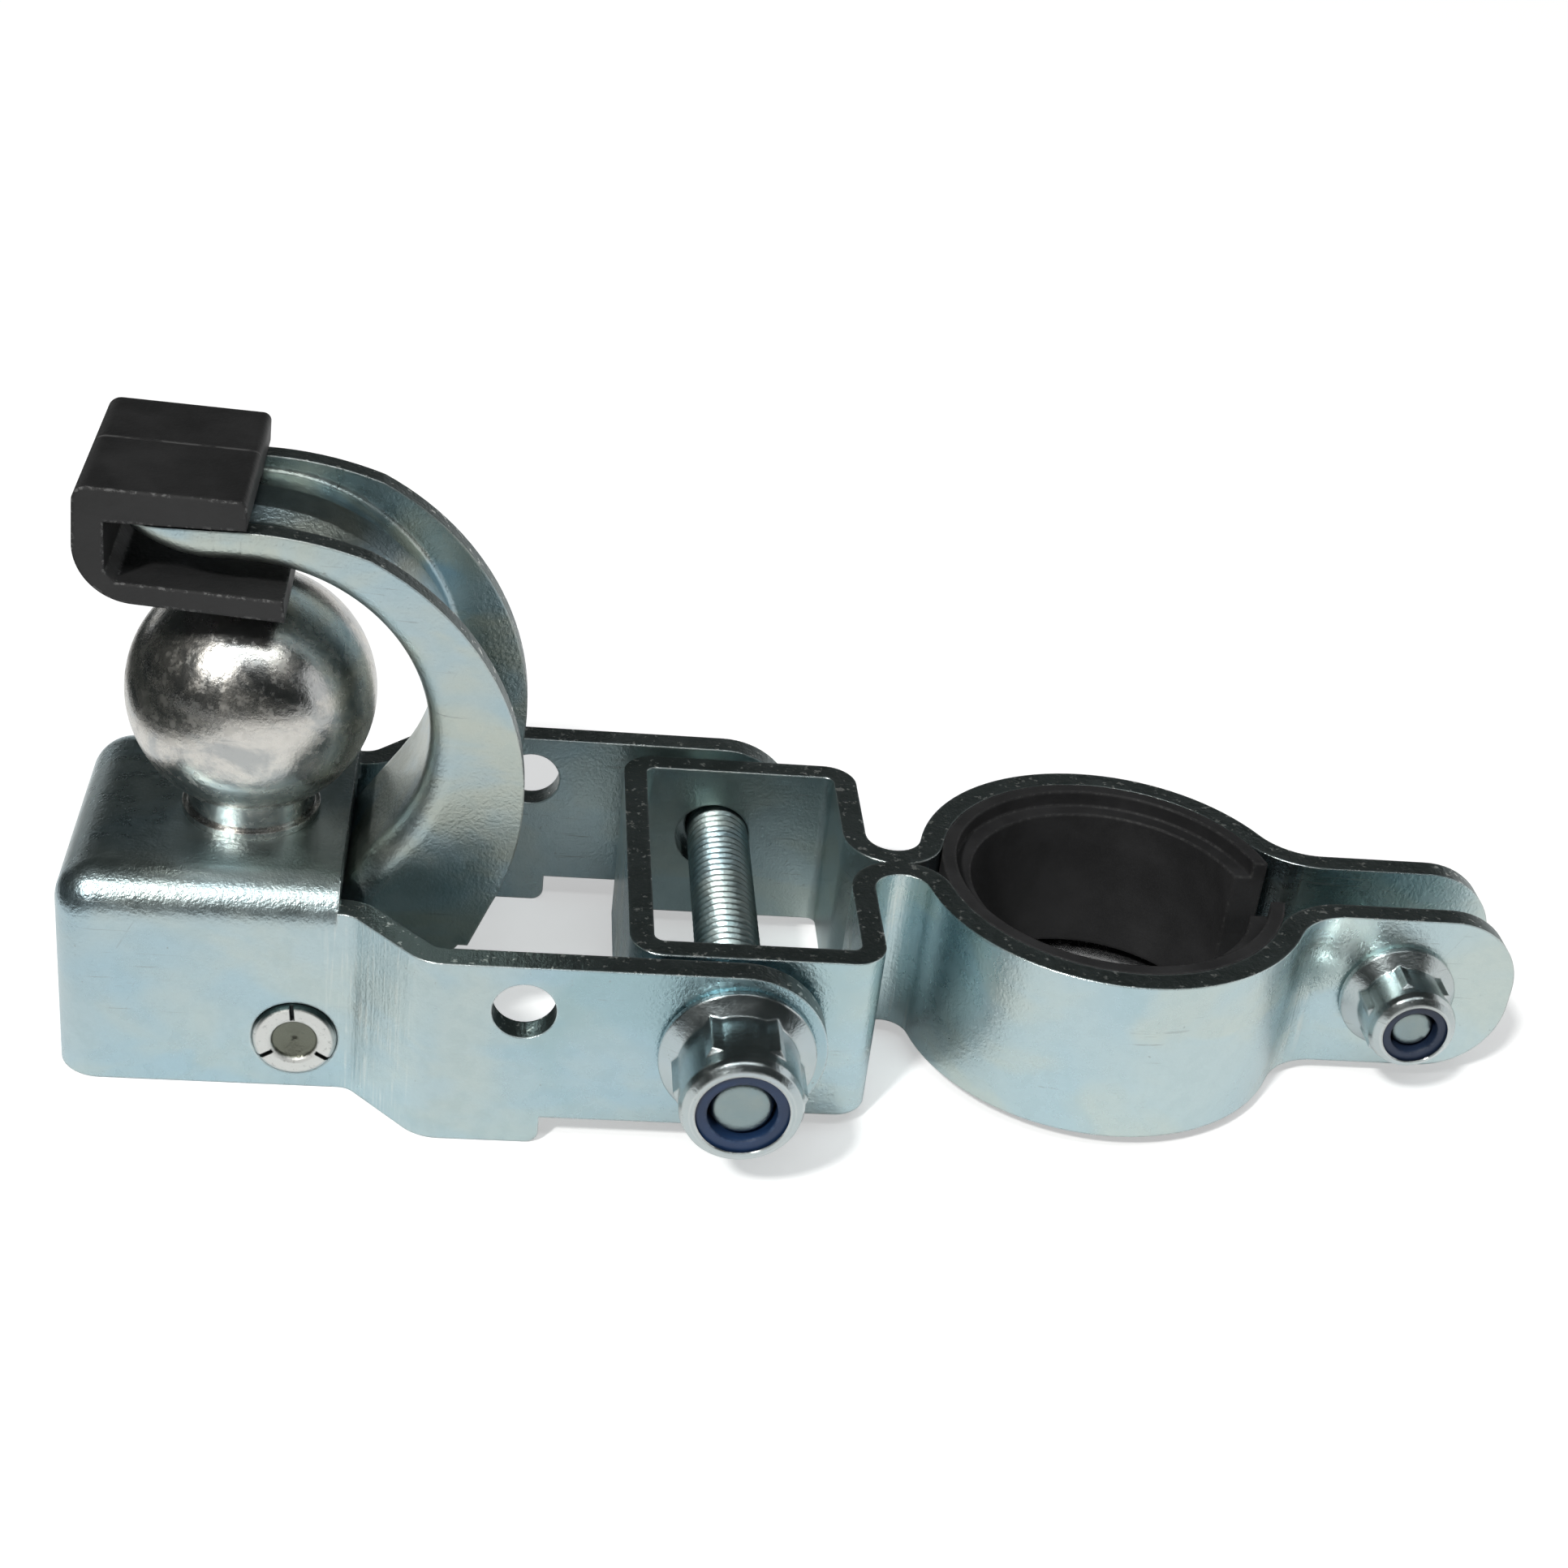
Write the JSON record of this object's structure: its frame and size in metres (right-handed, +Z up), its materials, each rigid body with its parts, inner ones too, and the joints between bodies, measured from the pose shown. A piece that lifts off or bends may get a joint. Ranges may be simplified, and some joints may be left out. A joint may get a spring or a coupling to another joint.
{
  "type": "bike trailer hitch",
  "caption": "Seat-post hitch for a bicycle trailer: a rubber-lined clamp, a tilting bracket with a small tow ball and a sprung latch lever.",
  "frame": {"origin": "on the seat post's axis, halfway up the clamp strap", "axes": "+Z up along the seat post, +X from the tow ball towards the clamp's ears, +Y along the tilt bolt towards its head"},
  "size_m": [0.1744, 0.0697, 0.0712],
  "materials": {
    "zinc_sheet": "bright zinc plate with a clouded tint",
    "zinc_strap": "bright zinc plate with a clouded tint",
    "zinc_lever": "bright zinc plate",
    "ball_steel": "satin turned steel",
    "rivet_steel": "dull grey-white, crimped",
    "dark_steel": "dull",
    "fastener_zinc": "bright zinc plate",
    "nylon_blue": "matte",
    "nylon_navy": "matte",
    "liner_rubber": "matte",
    "cap_plastic": "matte, edges rubbed grey"
  },
  "bodies": {
    "base": {"base_bracket": "zinc_sheet", "tow_ball": "ball_steel", "pivot_rivet": "rivet_steel", "pivot_spacer_near": "dark_steel", "pivot_spacer_far": "dark_steel", "latch_spring": "dark_steel", "tilt_bolt": "fastener_zinc", "tilt_nut": "fastener_zinc", "tilt_nut_nylon_ring": "nylon_blue", "tilt_washer_near": "fastener_zinc", "tilt_washer_far": "fastener_zinc"},
    "lever": {"latch_lever": "zinc_lever", "lever_cap": "cap_plastic"},
    "clamp": {"clamp_strap": "zinc_strap", "rubber_liner": "liner_rubber", "clamp_bolt": "fastener_zinc", "clamp_nut": "fastener_zinc", "clamp_nut_nylon_ring": "nylon_navy"}
  },
  "joints": [
    {"name": "latch_pivot", "type": "hinge", "parent": "base", "child": "lever", "pos_m": [-0.0964, 0, -0.0061], "axis": [0, 1, 0], "range_deg": [0, 24], "stiffness_Nm_per_rad": 0.12, "springref_deg": -34.38, "deforming": ["latch_spring"]},
    {"name": "tilt_hinge", "type": "hinge", "parent": "base", "child": "clamp", "pos_m": [-0.0466, 0, 0.001], "axis": [0, 1, 0], "range_deg": [-40, 40]}
  ]
}
